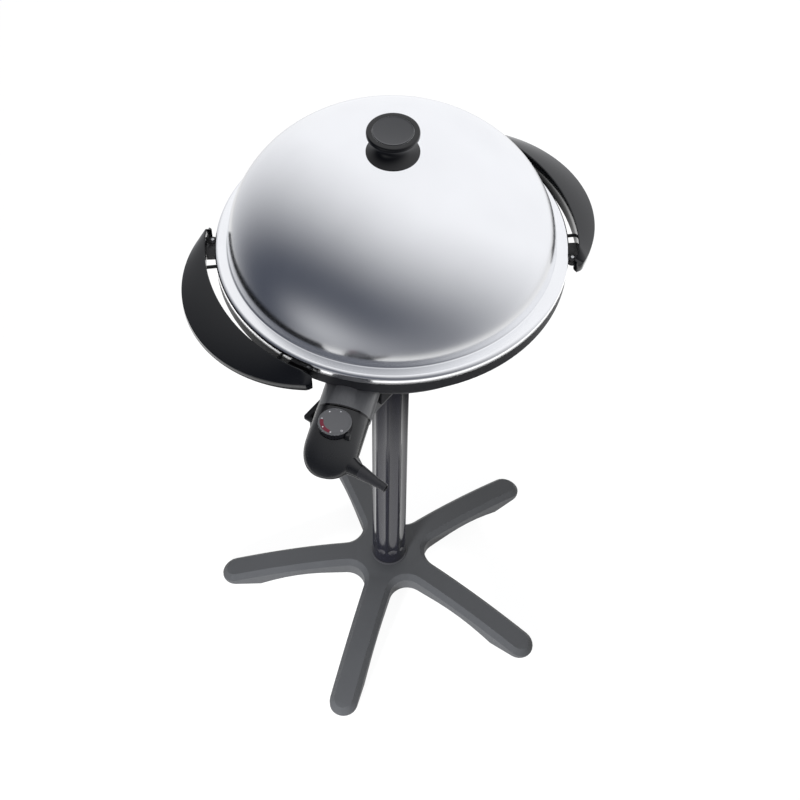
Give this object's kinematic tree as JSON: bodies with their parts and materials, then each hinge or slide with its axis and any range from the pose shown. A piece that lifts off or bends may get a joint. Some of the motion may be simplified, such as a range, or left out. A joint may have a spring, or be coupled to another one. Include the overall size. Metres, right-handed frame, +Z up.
{
  "type": "electric grill on pedestal",
  "caption": "Round electric grill on a pedestal: domed metal lid with knob, bowl with side handles, plug-in thermostat, fluted column and star base.",
  "frame": {"origin": "on the column's axis, at floor level", "axes": "+Z up along the column, -Y towards the user who faces the thermostat, +X to the user's right"},
  "size_m": [0.5339, 0.5959, 0.9876],
  "materials": {
    "base_coat": "satin dark grey coat",
    "rubber_pad": "matt",
    "column_gloss": "glossy black enamel",
    "trim_black": "matt",
    "plated_steel": "zinc plated",
    "bowl_coat": "satin dark coat",
    "bright_sheet": "bright",
    "heater_sheath": "heat-darkened",
    "ceramic": "unglazed insulator",
    "shroud_black": "fine satin",
    "handle_gloss": "polished moulding",
    "tray_grey": "satin",
    "plate_coat": "dark non-stick coat",
    "lid_steel": "satin metal sheet",
    "knob_gloss": "polished moulding",
    "knob_matt": "matt disc",
    "housing_grey": "satin moulding",
    "brass_contact": "plain",
    "relief_rubber": "soft satin",
    "dial_grey": "satin moulding"
  },
  "bodies": {
    "stand": {"star_base": "base_coat", "foot_pads": "rubber_pad", "column_tube": "column_gloss", "base_ring": "trim_black", "column_foot": "plated_steel", "stand_bolt": "plated_steel", "column_cap": "trim_black"},
    "head": {"bowl": "bowl_coat", "neck_socket": "bowl_coat", "neck_screws": "plated_steel", "reflector_pan": "bright_sheet", "heating_element": "heater_sheath", "element_supports": "plated_steel", "terminal_bracket": "plated_steel", "terminal_block": "ceramic", "terminal_pins": "bright_sheet", "socket_shroud": "shroud_black", "shroud_screws": "plated_steel", "tray_rails": "bowl_coat", "handle_left": "handle_gloss", "handle_right": "handle_gloss", "handle_brackets": "trim_black", "handle_screws": "plated_steel"},
    "tray": {"drip_tray": "tray_grey"},
    "plate": {"grill_plate": "plate_coat"},
    "lid": {"lid_dome": "lid_steel", "lid_knob": "knob_gloss", "knob_disc": "knob_matt", "knob_screw": "plated_steel"},
    "controller": {"controller_lower": "housing_grey", "controller_upper": "housing_grey", "plug_nose": "ceramic", "contact_sleeves": "brass_contact", "probe_rod": "bright_sheet", "thermostat_switch": "ceramic", "controller_screws": "plated_steel", "strain_relief": "relief_rubber"},
    "dial": {"control_dial": "dial_grey", "dial_shaft": "plated_steel"}
  },
  "joints": [
    {"name": "head_lift", "type": "slide", "parent": "stand", "child": "head", "axis": [0, 0, 1], "range_m": [0, 0.12]},
    {"name": "plate_lift", "type": "slide", "parent": "head", "child": "plate", "axis": [0, 0, 1], "range_m": [0, 0.12]},
    {"name": "lid_lift", "type": "slide", "parent": "plate", "child": "lid", "axis": [0, 0, 1], "range_m": [0, 0.3]},
    {"name": "controller_unplug", "type": "slide", "parent": "head", "child": "controller", "axis": [-0.2351, -0.972, 0], "range_m": [0, 0.13]},
    {"name": "dial_turn", "type": "hinge", "parent": "controller", "child": "dial", "pos_m": [-0.06387, -0.26399, 0.7735], "axis": [0, 0, 1], "range_deg": [-310, 0]},
    {"name": "tray_slide", "type": "slide", "parent": "head", "child": "tray", "axis": [-0.5948, -0.8039, 0], "range_m": [0, 0.18]}
  ]
}
